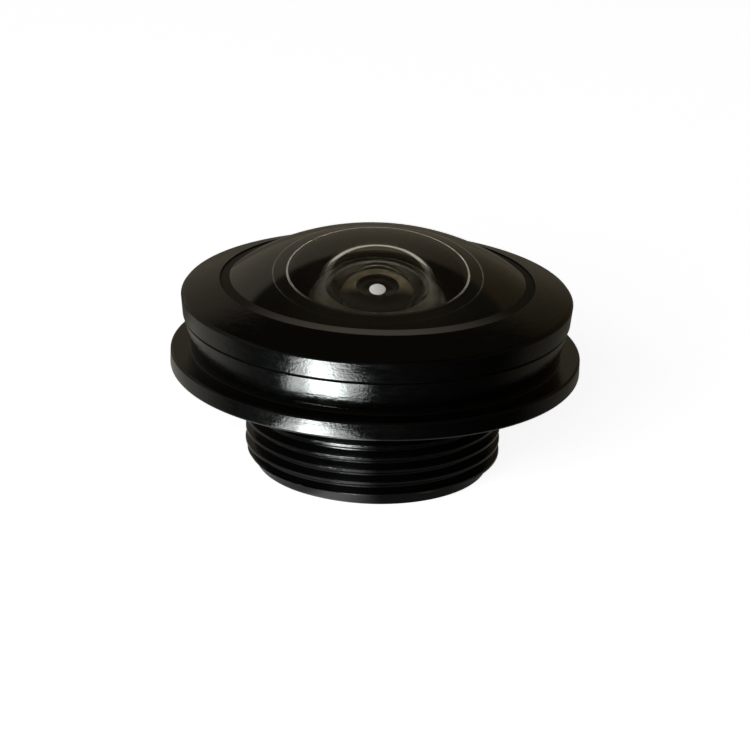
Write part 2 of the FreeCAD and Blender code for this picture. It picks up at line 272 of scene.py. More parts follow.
class Shader:
    """A material with its Principled shader and short calls for the nodes that feed it."""

    def __init__(self, name, **fixed):
        self.material = bpy.data.materials.new(name)
        self.material.use_nodes = True
        self.tree = self.material.node_tree
        self.nodes = self.tree.nodes
        self.nodes.clear()
        self.out = self.add("ShaderNodeOutputMaterial")
        self.bsdf = self.add("ShaderNodeBsdfPrincipled")
        self.link(self.bsdf.outputs[0], self.out.inputs[0])
        for key, value in fixed.items():
            self.bsdf.inputs[key].default_value = value
        coordinates = self.add("ShaderNodeTexCoord")
        self.place = coordinates.outputs["Object"]
        split = self.add("ShaderNodeSeparateXYZ")
        self.link(self.place, split.inputs[0])
        self.x, self.y, self.z = split.outputs

    def add(self, kind):
        return self.nodes.new(kind)

    def link(self, a, b):
        self.tree.links.new(a, b)

    def put(self, value, socket):
        """Feeds a socket from a node's output, or sets it to a plain value."""
        if hasattr(value, "is_linked"):
            self.link(value, socket)
        else:
            socket.default_value = value

    def math(self, operation, a, b=0.0, clamp=False):
        node = self.add("ShaderNodeMath")
        node.operation = operation
        node.use_clamp = clamp
        for value, socket in zip((a, b), node.inputs):
            self.put(value, socket)
        return node.outputs[0]

    def vector(self, x, y, z):
        node = self.add("ShaderNodeCombineXYZ")
        for value, socket in zip((x, y, z), node.inputs):
            self.put(value, socket)
        return node.outputs[0]

    def noise(self, vector, scale, detail=2.0, roughness=0.5, distortion=0.0):
        node = self.add("ShaderNodeTexNoise")
        self.put(vector, node.inputs["Vector"])
        node.inputs["Scale"].default_value = scale
        node.inputs["Detail"].default_value = detail
        node.inputs["Roughness"].default_value = roughness
        node.inputs["Distortion"].default_value = distortion
        return node.outputs[0]

    def span(self, value, low, high, to_low=0.0, to_high=1.0):
        """A value that runs from low to high, taken to run from to_low to to_high."""
        node = self.add("ShaderNodeMapRange")
        self.put(value, node.inputs[0])
        for number, socket in zip((low, high, to_low, to_high), list(node.inputs)[1:5]):
            self.put(number, socket)
        return node.outputs[0]

    def mix(self, factor, a, b):
        node = self.add("ShaderNodeMix")
        node.data_type = "RGBA"
        self.put(factor, node.inputs[0])
        self.put((*a, 1) if isinstance(a, tuple) else a, node.inputs[6])
        self.put((*b, 1) if isinstance(b, tuple) else b, node.inputs[7])
        return node.outputs[2]

    def bump(self, height, strength, distance):
        node = self.add("ShaderNodeBump")
        node.inputs["Strength"].default_value = strength
        node.inputs["Distance"].default_value = distance
        self.link(height, node.inputs["Height"])
        return node.outputs[0]

    def painted_shading_toward_front(self, tone, near, turn):
        """A tone that becomes the shade near toward -Y: painted shading, which makes the near side lighter
        or darker as light falling on it would. turn is the two places along y between which it changes, in
        millimetres."""
        if not near:
            return tone
        return self.mix(self.span(self.y, turn[0] * MM, turn[1] * MM), near, tone)

    def round_place(self, along, across, around):
        """Coordinates that run round the optical axis: radius and height stretched by across and
        along, and the way round by around, with no seam."""
        x_squared = self.math("MULTIPLY", self.x, self.x)
        y_squared = self.math("MULTIPLY", self.y, self.y)
        radius = self.math("SQRT", self.math("ADD", x_squared, y_squared))
        safe = self.math("MAXIMUM", radius, 1e-6)
        cos = self.math("DIVIDE", self.x, safe)
        sin = self.math("DIVIDE", self.y, safe)
        level = self.math("ADD", self.math("MULTIPLY", radius, across), self.math("MULTIPLY", self.z, along))
        return self.vector(self.math("MULTIPLY", cos, around), self.math("MULTIPLY", sin, around), level)


def anodised(name, shade, roughness, streak, mottle):
    """Black anodised aluminium: fine turning marks, and a skin that is slightly uneven."""
    s = Shader(name, Metallic=0.0, IOR=1.5)
    s.bsdf.inputs["Specular IOR Level"].default_value = 0.35
    fine_place = s.round_place(along=26000.0, across=31000.0, around=2.2)
    fine = s.noise(fine_place, 1.0, detail=3.0, roughness=0.6)
    wide_place = s.round_place(along=4200.0, across=5200.0, around=9.0)
    patch = s.noise(wide_place, 1.0, detail=4.0, roughness=0.62, distortion=0.35)
    grain = s.noise(s.place, 9500.0, detail=2.0, roughness=0.55)
    cloud = s.noise(s.place, 1900.0, detail=3.0, roughness=0.6)
    uneven = s.math("ADD", s.math("MULTIPLY", patch, 0.6), s.math("MULTIPLY", cloud, 0.4))
    tone = s.mix(s.span(uneven, 0.35, 0.7), scaled(shade, 0.8), scaled(shade, 1.35))
    s.put(tone, s.bsdf.inputs["Base Color"])
    level = s.math("ADD", s.span(uneven, 0.3, 0.72, -mottle, mottle), s.span(grain, 0.3, 0.7, -0.03, 0.03))
    s.put(s.math("ADD", level, roughness, clamp=True), s.bsdf.inputs["Roughness"])
    height = s.math("ADD", s.math("MULTIPLY", fine, streak), grain)
    height = s.math("ADD", height, s.math("MULTIPLY", patch, 1.2))
    s.put(s.bump(height, strength=0.8, distance=8.0e-6), s.bsdf.inputs["Normal"])
    return s.material


def matt_black(name, shade, roughness, near=None, turn=None):
    """Paint, film or blasted metal inside the lens. near, where given, is a painted shade that the near
    side toward -Y takes between the two places along y in turn, in millimetres.
    """
    s = Shader(name, Metallic=0.0)
    s.bsdf.inputs["Specular IOR Level"].default_value = 0.35
    speck = s.noise(s.place, 14000.0, detail=3.0, roughness=0.6)
    cloud = s.noise(s.place, 1500.0)
    tone = s.mix(s.span(cloud, 0.35, 0.65), scaled(shade, 0.8), scaled(shade, 1.25))
    s.put(s.painted_shading_toward_front(tone, near, turn), s.bsdf.inputs["Base Color"])
    s.put(s.span(speck, 0.3, 0.7, roughness - 0.06, roughness + 0.06), s.bsdf.inputs["Roughness"])
    s.put(s.bump(speck, strength=0.4, distance=2.0e-6), s.bsdf.inputs["Normal"])
    return s.material


def ground_glass(name, shade, roughness, near, turn):
    """The ground, unpolished ring round a glass. near is painted shading: a lighter or darker shade that
    the near side toward -Y takes between the two places along y in turn, in millimetres.
    """
    s = Shader(name, Metallic=0.0)
    speck = s.noise(s.place, 22000.0)
    tone = s.mix(s.span(speck, 0.35, 0.65), scaled(shade, 0.75), scaled(shade, 1.2))
    s.put(s.painted_shading_toward_front(tone, near, turn), s.bsdf.inputs["Base Color"])
    s.put(s.span(speck, 0.3, 0.7, roughness - 0.08, roughness + 0.08), s.bsdf.inputs["Roughness"])
    s.put(s.bump(speck, strength=0.5, distance=2.0e-6), s.bsdf.inputs["Normal"])
    return s.material


def dusty(s, tint, share):
    """The tint of a glass, a little darker in soft clouds."""
    dust = s.noise(s.place, 2600.0)
    return s.mix(s.span(dust, 0.3, 0.7), scaled(tint, share), tint)


def polished_glass(name, tint, index, gloss=1.0):
    """Polished glass that bends the light. Its coating leaves a share of the bare glass's gloss."""
    s = Shader(name, Metallic=0.0, Roughness=0.0, IOR=index)
    s.bsdf.inputs["Specular Tint"].default_value = (gloss, gloss, gloss, 1)
    s.bsdf.inputs["Transmission Weight"].default_value = 1.0
    s.put(dusty(s, tint, 0.985), s.bsdf.inputs["Base Color"])
    return s.material


def clear_glass(name, tint, index):
    """A thin or hidden glass that is looked straight through, with its gloss on top."""
    s = Shader(name)
    s.nodes.remove(s.bsdf)
    through = s.add("ShaderNodeBsdfTransparent")
    s.put(dusty(s, tint, 0.99), through.inputs[0])
    gloss = s.add("ShaderNodeBsdfGlossy")
    gloss.inputs["Roughness"].default_value = 0.0
    gloss.inputs["Color"].default_value = (0.5, 0.5, 0.5, 1)
    edge = s.add("ShaderNodeFresnel")
    edge.inputs["IOR"].default_value = index
    both = s.add("ShaderNodeMixShader")
    s.link(edge.outputs[0], both.inputs[0])
    s.link(through.outputs[0], both.inputs[1])
    s.link(gloss.outputs[0], both.inputs[2])
    s.link(both.outputs[0], s.out.inputs[0])
    return s.material


def rubber(name, shade):
    """The seal's matt rubber."""
    s = Shader(name, Metallic=0.0)
    speck = s.noise(s.place, 9000.0, detail=3.0)
    s.put(s.mix(speck, scaled(shade, 0.7), scaled(shade, 1.3)), s.bsdf.inputs["Base Color"])
    s.put(s.span(speck, 0.3, 0.7, 0.6, 0.75), s.bsdf.inputs["Roughness"])
    return s.material


METAL = anodised("black_anodised", (0.0010, 0.0011, 0.00105), roughness=0.15, streak=0.5, mottle=0.10)
MATT = matt_black("matt_black_metal", (0.010, 0.0095, 0.009), 0.55)
# The front spacer's tan ring, darker on its near part toward -Y: painted shade
TAN_WITH_PAINTED_SHADE = matt_black("front_spacer_metal_painted_shade", (0.17, 0.14, 0.082), 0.55,
                 near=(0.012, 0.010, 0.007), turn=(-0.85, -0.35))
REAR_RING = matt_black("rear_ring_paint", (0.12, 0.113, 0.082), 0.5)
FILM = matt_black("black_film", (0.002, 0.002, 0.002), 0.6)
PAINT = matt_black("edge_paint", (0.002, 0.0019, 0.0016), 0.5)
# The ground bevel under the lip, lighter on its near part and dark at the sides: painted light
GROUND_WITH_PAINTED_LIGHT = ground_glass("ground_bevel_painted_light", (0.012, 0.011, 0.009), 0.6,
                      near=(0.165, 0.152, 0.123), turn=(-5.9, -3.2))
# The thin ground ring on the seat, dark on its near part: painted shade
SEAT_RING_WITH_PAINTED_SHADE = ground_glass("ground_ring_painted_shade", (0.10, 0.094, 0.08), 0.6,
                         near=(0.01, 0.009, 0.008), turn=(-2.5, -0.5))
# The ground edge round the hollow, dark on its near part: painted shade
BRIGHT_WITH_PAINTED_SHADE = ground_glass("ground_edge_painted_shade", (0.38, 0.364, 0.325), 0.5,
                      near=(0.02, 0.019, 0.016), turn=(-1.9, -0.3))
CLEAN = (0.998, 0.996, 0.988)
COATED = 0.12
GLASS = polished_glass("front_glass", CLEAN, 1.70)
HOLLOW_GLASS = polished_glass("front_glass_rear", CLEAN, 1.70, COATED)
INNER_GLASS = polished_glass("second_glass", CLEAN, 1.62, COATED)
THIRD_GLASS = polished_glass("third_glass", CLEAN, 1.75, COATED)
PAIR_GLASS = polished_glass("cemented_glass", (0.995, 0.995, 0.99), 1.52, COATED)
CLEAR = clear_glass("rear_glass", (0.998, 0.998, 0.995), 1.5)
FILTER = clear_glass("filter_glass", (0.99, 0.98, 0.985), 1.5)
RUBBER = rubber("seal_rubber", (0.012, 0.012, 0.012))


# Barrel
def thread_radius(level):
    """Radius of the thread's surface at a share of the pitch measured from the groove's middle."""
    away = abs((level + 0.5) % 1.0 - 0.5) * PITCH
    crest_flat = CREST_SHARE * PITCH
    root_flat = ROOT_SHARE * PITCH
    groove_half = (PITCH - crest_flat) / 2
    depth = (groove_half - root_flat / 2) / math.tan(FLANK)
    if away >= groove_half:
        return THREAD_R
    fall = min(1.0, (groove_half - away) / (groove_half - root_flat / 2))
    return THREAD_R - depth * fall


def thread_levels():
    """Shares of the pitch, from the groove's middle up, that carry the profile with softened edges."""
    crest_half = CREST_SHARE / 2
    root_half = ROOT_SHARE / 2
    edge = 0.5 - crest_half
    near = 0.018
    right = [0.0, root_half, root_half + near]
    right += [root_half + near + (edge - near - root_half - near) * k / 4 for k in range(1, 5)]
    right += [edge - near * 0.4, edge, edge + near * 0.6, edge + near * 1.6]
    right = sorted(set(right + [0.5]))
    return right + [1 - x for x in reversed(right[1:-1])]


def crest_radius(level):
    """The thread's radius with its crest edges broken, as a tool leaves them."""
    away = abs((level + 0.5) % 1.0 - 0.5)
    edge = 0.5 - CREST_SHARE / 2
    base = thread_radius(level)
    blunt = CREST_BLUNT * max(0.0, 1.0 - abs(away - edge) / CREST_BLUNT_REACH)
    return base - blunt


def envelope(z):
    """The turned outline that the thread was cut into."""
    if z <= PILOT_TOP:
        return PILOT_R
    if z < PILOT_TOP + LEAD:
        return PILOT_R + (THREAD_R - PILOT_R) * (z - PILOT_TOP) / LEAD
    if z <= THREAD_TOP:
        return THREAD_R
    if z < THREAD_TOP + RUN_OUT:
        return THREAD_R + (RELIEF_R - THREAD_R) * (z - THREAD_TOP) / RUN_OUT
    return RELIEF_R


def plain_outline():
    """The barrel's outline from the relief over the flange and neck, down the bore and to the pilot."""
    return soften([
        (RELIEF_R, RELIEF_START),
        (RELIEF_R, FLANGE_Z, 0.05),
        (FLANGE_R - FLANGE_EDGE, FLANGE_Z, 0.02),
        (FLANGE_R, FLANGE_Z + 0.08, 0.03),
        (FLANGE_R, FLANGE_TOP - FLANGE_EDGE, 0.03),
        (FLANGE_R - FLANGE_EDGE, FLANGE_TOP, 0.02),
        (WAIST_R, FLANGE_TOP, 0.03),
        (WAIST_R, WAIST_TOP, 0.02),
        (SEAM_R - 0.035, SEAM_Z - 0.035, 0.015),
        (SEAM_R - SEAM_DEPTH, SEAM_Z, 0.01),
        (NECK_R, SEAM_Z),
        (NECK_R, NECK_TOP, 0.04),
        (POCKET_R, NECK_TOP, 0.03),
        (POCKET_R, SHOULDER),
        (GROOVE_OUT_R, SHOULDER),
        (GROOVE_OUT_R, SEAL_FLOOR),
        (GROOVE_IN_R, SEAL_FLOOR),
        (GROOVE_IN_R, SHOULDER),
        (UPPER_BORE_R + 0.02, SHOULDER, 0.02),
        (UPPER_BORE_R, SHOULDER - 0.03),
        (UPPER_BORE_R, SPACER_REAR),
        (LOWER_BORE_R, SPACER_REAR, 0.03),
        (LOWER_BORE_R, WEB_TOP),
        (WEB_R, WEB_TOP, 0.03),
        (WEB_R + WEB_FLARE, FILTER_FRONT, 0.03),
        (RECESS_R, FILTER_FRONT),
        (RECESS_R, 0.05, 0.02),
        (RECESS_R + 0.05, 0.0, 0.02),
        (PILOT_R - 0.05, 0.0, 0.03),
        (PILOT_R, 0.06, 0.03),
        (PILOT_R, PILOT_TOP - WALL_OVERLAP),
    ])


def add_thread(bm):
    """The threaded stretch, in rows that climb with the helix and are held between its two ends."""
    levels = thread_levels()
    low, high = PILOT_TOP - WALL_OVERLAP, RELIEF_START
    turns_low = math.floor((low - THREAD_START) / PITCH) - 1
    turns_high = math.ceil((high - THREAD_START) / PITCH) + 1
    rows = [turn + level for turn in range(turns_low, turns_high) for level in levels]
    columns = []
    for k in range(BARREL_AROUND):
        angle = TAU * k / BARREL_AROUND
        lift = THREAD_START + PITCH * k / BARREL_AROUND
        column = []
        for row in rows:
            z = min(max(lift + row * PITCH, low), high)
            if z <= low:
                r = PILOT_R
            elif z >= high:
                r = RELIEF_R
            else:
                r = min(crest_radius((z - lift) / PITCH), envelope(z))
            column.append(bm.verts.new((r * math.cos(angle), r * math.sin(angle), z)))
        columns.append(column)
    for k in range(BARREL_AROUND):
        a = columns[k]
        b = columns[(k + 1) % BARREL_AROUND]
        # Past the last column the helix has climbed one turn, so its rows meet the first column's rows
        # one turn up
        shift = len(levels) if k == BARREL_AROUND - 1 else 0
        for i in range(len(rows) - 1 - shift):
            bm.faces.new((a[i], b[i + shift], b[i + 1 + shift], a[i + 1]))


def barrel():
    """The barrel: a turned body with a helical thread, its edges broken."""
    bm = bmesh.new()
    rings = [circle(bm, r, z, BARREL_AROUND) for r, z in plain_outline()]
    for a, b in zip(rings, rings[1:]):
        band(bm, a, b, BARREL_AROUND)
    add_thread(bm)
    bmesh.ops.remove_doubles(bm, verts=bm.verts, dist=WELD)
    loose = [v for v in bm.verts if not v.link_faces]
    bmesh.ops.delete(bm, geom=loose, context="VERTS")
    piece = finish_mesh("barrel_finish", bm, THREAD_SHARP)
    piece.data.materials.append(METAL)
    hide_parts("barrel")
    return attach(piece, "root")


# Turned pieces
def turned(name, node, outline, material, around):
    """A ring in one material that takes a CAD node's place."""
    piece = lathe(name, outline, around)
    piece.data.materials.append(material)
    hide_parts(node)
    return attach(piece, "root")


def ring_of(name, node, inner_rear, inner_front, outer, rear, front, material, soft=0.01):
    """A ring or disc with a straight or coned bore."""
    outline = soften([
        (inner_rear, rear, soft),
        (outer, rear, soft),
        (outer, front, soft),
        (inner_front, front, soft),
    ])
    return turned(name, node, outline, material, INNER_AROUND)


def front_ring():
    """The ring that holds the front glass: skirt, rim, cone and thin lip."""
    cap_z = LIP_TOP - LIP_THICKNESS - (RING_CAP_R - LIP_R) * CONE_RISE
    outline = soften([
        (RING_BORE_R, SEAM_Z),
        (SEAM_R - SEAM_DEPTH, SEAM_Z, 0.01),
        (SEAM_R - 0.03, SEAM_Z + 0.04, 0.015),
        (SEAM_R + (RIM_R - SEAM_R) * 0.04, SEAM_Z + 0.08),
        (RIM_R, RIM_Z - RIM_EDGE, 0.03),
        (RIM_R - RIM_EDGE, RIM_Z + RIM_EDGE * CONE_RISE, 0.04),
        (LIP_R + 0.02, LIP_TOP - 0.02 * CONE_RISE, 0.015),
        (LIP_R, LIP_TOP - 0.02, 0.005),
        (LIP_R, LIP_TOP - LIP_THICKNESS),
        (RING_CAP_R, cap_z),
        (RING_CAP_R, RING_ROOF),
        (RING_BORE_R, RING_ROOF),
    ])
    turned("front_ring_finish", "front_retaining_ring", outline, METAL, AROUND)


# Glasses
def front_glass():
    """The domed glass: polished out to a ground bevel under the lip, hollow behind, its seat painted
    but for a thin ground line."""
    hollow_apex = SEAT + sag(HOLLOW_CURVE, HOLLOW_R)
    rim = HOLLOW_R - HOLLOW_EDGE
    rim_z = hollow_apex - sag(HOLLOW_CURVE, rim)
    bevel_z = APEX - sag(FRONT_CURVE, BEVEL_R) - 0.001
    edge_top = bevel_z - (DOME_R - BEVEL_R) * CONE_RISE
    outline = [
        (0.0, APEX),
        *arc(0, APEX, BEVEL_R, bevel_z, FRONT_CURVE, DOME_STEPS, 1),
        (LIP_R, bevel_z - (LIP_R - BEVEL_R) * CONE_RISE),
        (DOME_R - GLASS_EDGE, edge_top + GLASS_EDGE * CONE_RISE),
        (DOME_R, edge_top - GLASS_EDGE),
        (DOME_R, SEAT + 0.04),
        (DOME_R - 0.04, SEAT),
        (LINE_OUT_R, SEAT),
        (LINE_IN_R, SEAT),
        (HOLLOW_R + GROUND_OUT, SEAT),
        (rim, rim_z),
        *arc(rim, rim_z, 0.0, hollow_apex, HOLLOW_CURVE, DOME_STEPS, 1),
    ]
    piece = lathe("front_glass", outline, DOME_AROUND, closed=False, sharp=DOME_SHARP)
    for material in (GLASS, PAINT, GROUND_WITH_PAINTED_LIGHT, BRIGHT_WITH_PAINTED_SHADE, SEAT_RING_WITH_PAINTED_SHADE, HOLLOW_GLASS):
        piece.data.materials.append(material)
    polished, painted, ground, bright, ring_line, hollow = range(6)

    def slot_of(r, z, n):
        if r > DOME_R - 0.05:
            return painted
        if n.z > 0:
            return ground if r > BEVEL_R else polished
        if z < SEAT + 0.001:
            return ring_line if LINE_IN_R < r < LINE_OUT_R else painted
        return bright if r > rim else hollow

    paint_faces(piece, slot_of)
    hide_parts("front_lens")
    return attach(piece, "root")


def lens(name, node, front, rear, rim, materials):
    """A glass with a blackened rim. front and rear are (apex, curve, clear radius, bulge, height of
    the flat round it). materials are those of the front, the rear and the flat round the rear."""
    front_apex, front_curve, front_clear, front_bulge, front_flat = front
    rear_apex, rear_curve, rear_clear, rear_bulge, rear_flat = rear
    front_edge = front_apex - front_bulge * sag(front_curve, front_clear)
    rear_edge = rear_apex - rear_bulge * sag(rear_curve, rear_clear)
    outline = [
        (0.0, front_apex),
        *arc(0, front_apex, front_clear, front_edge, front_curve, INNER_STEPS, front_bulge),
        (rim - GLASS_EDGE, front_flat),
        (rim, front_flat - GLASS_EDGE),
        (rim, rear_flat + GLASS_EDGE),
        (rim - GLASS_EDGE, rear_flat),
        (rear_clear, rear_edge),
        *arc(rear_clear, rear_edge, 0.0, rear_apex, rear_curve, INNER_STEPS, rear_bulge),
    ]
    piece = lathe(name, outline, INNER_AROUND, closed=False, sharp=INNER_SHARP)
    front_material, rear_material, flat_material = materials
    for material in (front_material, PAINT, rear_material, flat_material):
        piece.data.materials.append(material)
    before, painted, behind, flat = range(4)

    def slot_of(r, z, n):
        if r > rim - GLASS_EDGE - 0.01 or (n.z > 0 and r > front_clear):
            return painted
        if r > rear_clear and n.z < 0:
            return flat
        return before if n.z > 0 else behind

    paint_faces(piece, slot_of)
    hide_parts(node)
    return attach(piece, "root")


def cemented_pair():
    """The fourth and fifth glasses, which are cemented and look like one."""
    front_curve, front_clear, rear_curve, rear_clear = PAIR
    rear_apex = FIFTH_REAR + sag(rear_curve, rear_clear)
    front_edge = FOURTH_APEX - sag(front_curve, front_clear)
    outline = [
        (0.0, FOURTH_APEX),
        *arc(0, FOURTH_APEX, front_clear, front_edge, front_curve, INNER_STEPS, 1),
        (front_clear, FIFTH_FRONT),
        (LOWER_R, FIFTH_FRONT),
        (LOWER_R, FIFTH_REAR),
        (rear_clear, FIFTH_REAR),
        *arc(rear_clear, FIFTH_REAR, 0.0, rear_apex, rear_curve, INNER_STEPS, 1),
    ]
    piece = lathe("cemented_pair", outline, INNER_AROUND, closed=False, sharp=INNER_SHARP)
    for material in (PAIR_GLASS, PAINT, CLEAR):
        piece.data.materials.append(material)
    polished, painted, clear = range(3)

    def slot_of(r, z, n):
        if abs(n.z) < 0.3 or r > front_clear:
            return painted
        return polished if n.z > 0 else clear

    paint_faces(piece, slot_of)
    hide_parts("fourth_lens", "fifth_lens")
    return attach(piece, "root")


def second_glass():
    front_curve, front_clear, rear_curve, rear_clear = SECOND
    lens("second_glass", "second_lens",
         (SECOND_APEX, front_curve, front_clear, 1, INNER_RING_REAR - AIR),
         (SECOND_REAR + sag(rear_curve, rear_clear), rear_curve, rear_clear, 1, SECOND_REAR + AIR),
         UPPER_R, (INNER_GLASS, INNER_GLASS, REAR_RING))


def third_glass():
    front_curve, front_clear, rear_curve, rear_clear = THIRD
    lens("third_glass", "third_lens",
         (THIRD_APEX, front_curve, front_clear, 1, SPACER_REAR - AIR),
         (THIRD_REAR + sag(rear_curve, rear_clear), rear_curve, rear_clear, 1, THIRD_REAR + AIR),
         LOWER_R, (THIRD_GLASS, CLEAR, PAINT))


def sixth_glass():
    front_curve, front_clear, rear_curve, rear_clear = SIXTH
    rear_flat = SIXTH_REAR_APEX + sag(rear_curve, rear_clear) + AIR
    lens("sixth_glass", "sixth_lens",
         (SIXTH_FRONT_APEX, front_curve, front_clear, 1, REAR_SPACER_REAR - AIR),
         (SIXTH_REAR_APEX, rear_curve, rear_clear, -1, rear_flat),
         LOWER_R, (CLEAR, CLEAR, PAINT))


def all_pieces():
    """Every piece from front to rear. The filter and the seal keep their CAD meshes."""
    barrel()
    front_ring()
    front_glass()
    ring_of("front_baffle_film", "front_baffle", 2.95, 2.95, BAFFLE_R, SHOULDER, SEAT - AIR,
            FILM)
    ring_of("inner_ring_finish", "inner_retaining_ring", 3.30, 3.50, INNER_RING_R, INNER_RING_REAR,
            INNER_RING_FRONT, METAL, soft=0.02)
    second_glass()
    ring_of("middle_baffle_film", "middle_baffle", 1.95, 1.95, UPPER_R, MID_BAFFLE_REAR, SECOND_REAR,
            FILM)
    ring_of("front_spacer_finish", "front_spacer", 1.62, 1.10, UPPER_R, SPACER_REAR, MID_BAFFLE_REAR,
            TAN_WITH_PAINTED_SHADE)
    third_glass()
    ring_of("aperture_disc", "aperture_stop", STOP_R - STOP_LESS, STOP_R, LOWER_R, STOP_REAR,
            STOP_FRONT - AIR, FILM, soft=0.004)
    ring_of("stop_spacer_finish", "stop_spacer", 2.2, 2.2, LOWER_R, STOP_SPACER_REAR, STOP_REAR,
            MATT)
    cemented_pair()
    ring_of("rear_spacer_finish", "rear_spacer", 1.95, 1.95, LOWER_R, REAR_SPACER_REAR, FIFTH_REAR,
            MATT)
    sixth_glass()
    ring_of("filter_ring_finish", "filter_retaining_ring", 2.5, 2.5, FILTER_R, RING_REAR, FILTER_REAR,
            METAL, soft=0.02)
    for node, material in (("ir_cut_filter", FILTER), ("front_seal_ring", RUBBER)):
        piece = frame["nodes"][node]
        piece.data.materials.clear()
        piece.data.materials.append(material)


all_pieces()


# Floor, surround, lamps and camera
class Stage:
    """Short calls for the nodes of the floor and the world."""

    def __init__(self, tree):
        self.tree = tree
        tree.nodes.clear()
        self.paths = tree.nodes.new("ShaderNodeLightPath")

    def add(self, kind):
        return self.tree.nodes.new(kind)

    def put(self, value, socket):
        """Feeds a socket from a node's output, or sets it to a plain value."""
        if hasattr(value, "is_linked"):
            self.tree.links.new(value, socket)
        else:
            socket.default_value = (*value, 1) if isinstance(value, tuple) else value

    def math(self, operation, a, b):
        node = self.add("ShaderNodeMath")
        node.operation = operation
        for value, socket in zip((a, b), node.inputs):
            self.put(value, socket)
        return node.outputs[0]

    def mix(self, factor, a, b):
        node = self.add("ShaderNodeMix")
        node.data_type = "RGBA"
        for value, socket in zip((factor, a, b), (node.inputs[0], node.inputs[6], node.inputs[7])):
            self.put(value, socket)
        return node.outputs[2]

    def blend(self, place, low, high, before, after):
        """The shade before up to low, the shade after from high on, and a soft change between."""
        node = self.add("ShaderNodeMapRange")
        node.interpolation_type = "SMOOTHSTEP"
        for value, socket in zip((place, low, high, 0.0, 1.0), list(node.inputs)[:5]):
            self.put(value, socket)
        return self.mix(node.outputs[0], before, after)

    def seen(self, camera, through, gloss):
        """How strongly the background shows to the camera, through glass and in gloss."""
        shares = (("Is Camera Ray", camera), ("Is Transmission Ray", through), ("Is Glossy Ray", gloss))
        parts = [self.math("MULTIPLY", share, self.paths.outputs[name]) for name, share in shares]
        return self.math("MAXIMUM", self.math("MAXIMUM", parts[0], parts[1]), parts[2])


# The floor as gloss sees it, a painted reflection: dark in front of the lens, paler to the sides,
# dimmer behind, and round the foot of the lens a pale patch that is strongest a little left of the
# middle and glows brighter than white, a painted pool of light
FLOOR_GREY = (0.8, 0.8, 0.8)
FLOOR_SHOWN = 0.9
FLOOR_DROP = 0.003
FLOOR_HALF = 1.5
GLOW_R = 4.0
FLOOR_LEFT = (0.42, 0.40, 0.35)
FLOOR_RIGHT = (0.13, 0.12, 0.095)
FLOOR_BEHIND = (0.10, 0.09, 0.07)
FLOOR_FRONT = (0.012, 0.011, 0.009)
FOOT_LEFT = (0.25, 0.25, 0.24)
FOOT_MIDDLE = (0.8, 0.81, 0.8)
FOOT_PEAK = (2.8, 2.82, 2.8)
FOOT_RIGHT = (0.20, 0.20, 0.19)


def floor_in_gloss(st, across, depth, reach):
    """The shade that the floor has in gloss, from the place on it."""
    sides = st.blend(across, -16.0 * MM, 14.0 * MM, FLOOR_LEFT, FLOOR_RIGHT)
    sides = st.blend(depth, 7.0 * MM, 14.0 * MM, sides, FLOOR_BEHIND)
    far = st.blend(depth, -9.0 * MM, 1.0 * MM, FLOOR_FRONT, sides)
    foot = st.blend(across, -7.0 * MM, -4.0 * MM, FOOT_LEFT, FOOT_MIDDLE)
    foot = st.blend(across, -3.0 * MM, -1.9 * MM, foot, FOOT_PEAK)
    foot = st.blend(across, -1.6 * MM, 0.6 * MM, foot, FOOT_RIGHT)
    return st.blend(reach, 7.0 * MM, 12.0 * MM, foot, far)


def floor():
    """A pale floor that shows white to the camera and keeps a soft shadow. Right under the lens it
    also glows to what is seen through glass."""
    mesh = bpy.data.meshes.new("floor")
    half, level = FLOOR_HALF, -FLOOR_DROP * MM
    corners = [(-half, -half, level), (half, -half, level), (half, half, level), (-half, half, level)]
    mesh.from_pydata(corners, [], [(0, 1, 2, 3)])
    piece = bpy.data.objects.new("floor", mesh)
    material = bpy.data.materials.new("pale_floor")
    material.use_nodes = True
    st = Stage(material.node_tree)
    plain = st.add("ShaderNodeBsdfDiffuse")
    st.put(FLOOR_GREY, plain.inputs[0])
    coordinates = st.add("ShaderNodeTexCoord")
    split = st.add("ShaderNodeSeparateXYZ")
    length = st.add("ShaderNodeVectorMath")
    length.operation = "LENGTH"
    for socket in (split.inputs[0], length.inputs[0]):
        st.put(coordinates.outputs["Object"], socket)
    across, depth, _ = split.outputs
    reach = length.outputs["Value"]
    under = st.math("LESS_THAN", reach, GLOW_R * MM)
    glow = st.add("ShaderNodeEmission")
    st.put(st.seen(FLOOR_SHOWN, under, 0.0), glow.inputs["Strength"])
    lit = st.add("ShaderNodeAddShader")
    st.put(plain.outputs[0], lit.inputs[0])
    st.put(glow.outputs[0], lit.inputs[1])
    # In gloss the floor is this emission instead of the lit floor: a painted reflection, with a glowing
    # patch at the foot as a painted pool of light
    card = st.add("ShaderNodeEmission")
    st.put(floor_in_gloss(st, across, depth, reach), card.inputs["Color"])
    both = st.add("ShaderNodeMixShader")
    st.put(st.paths.outputs["Is Glossy Ray"], both.inputs[0])
    st.put(lit.outputs[0], both.inputs[1])
    st.put(card.outputs[0], both.inputs[2])
    st.put(both.outputs[0], st.add("ShaderNodeOutputMaterial").inputs[0])
    mesh.materials.append(material)
    bpy.context.scene.collection.objects.link(piece)


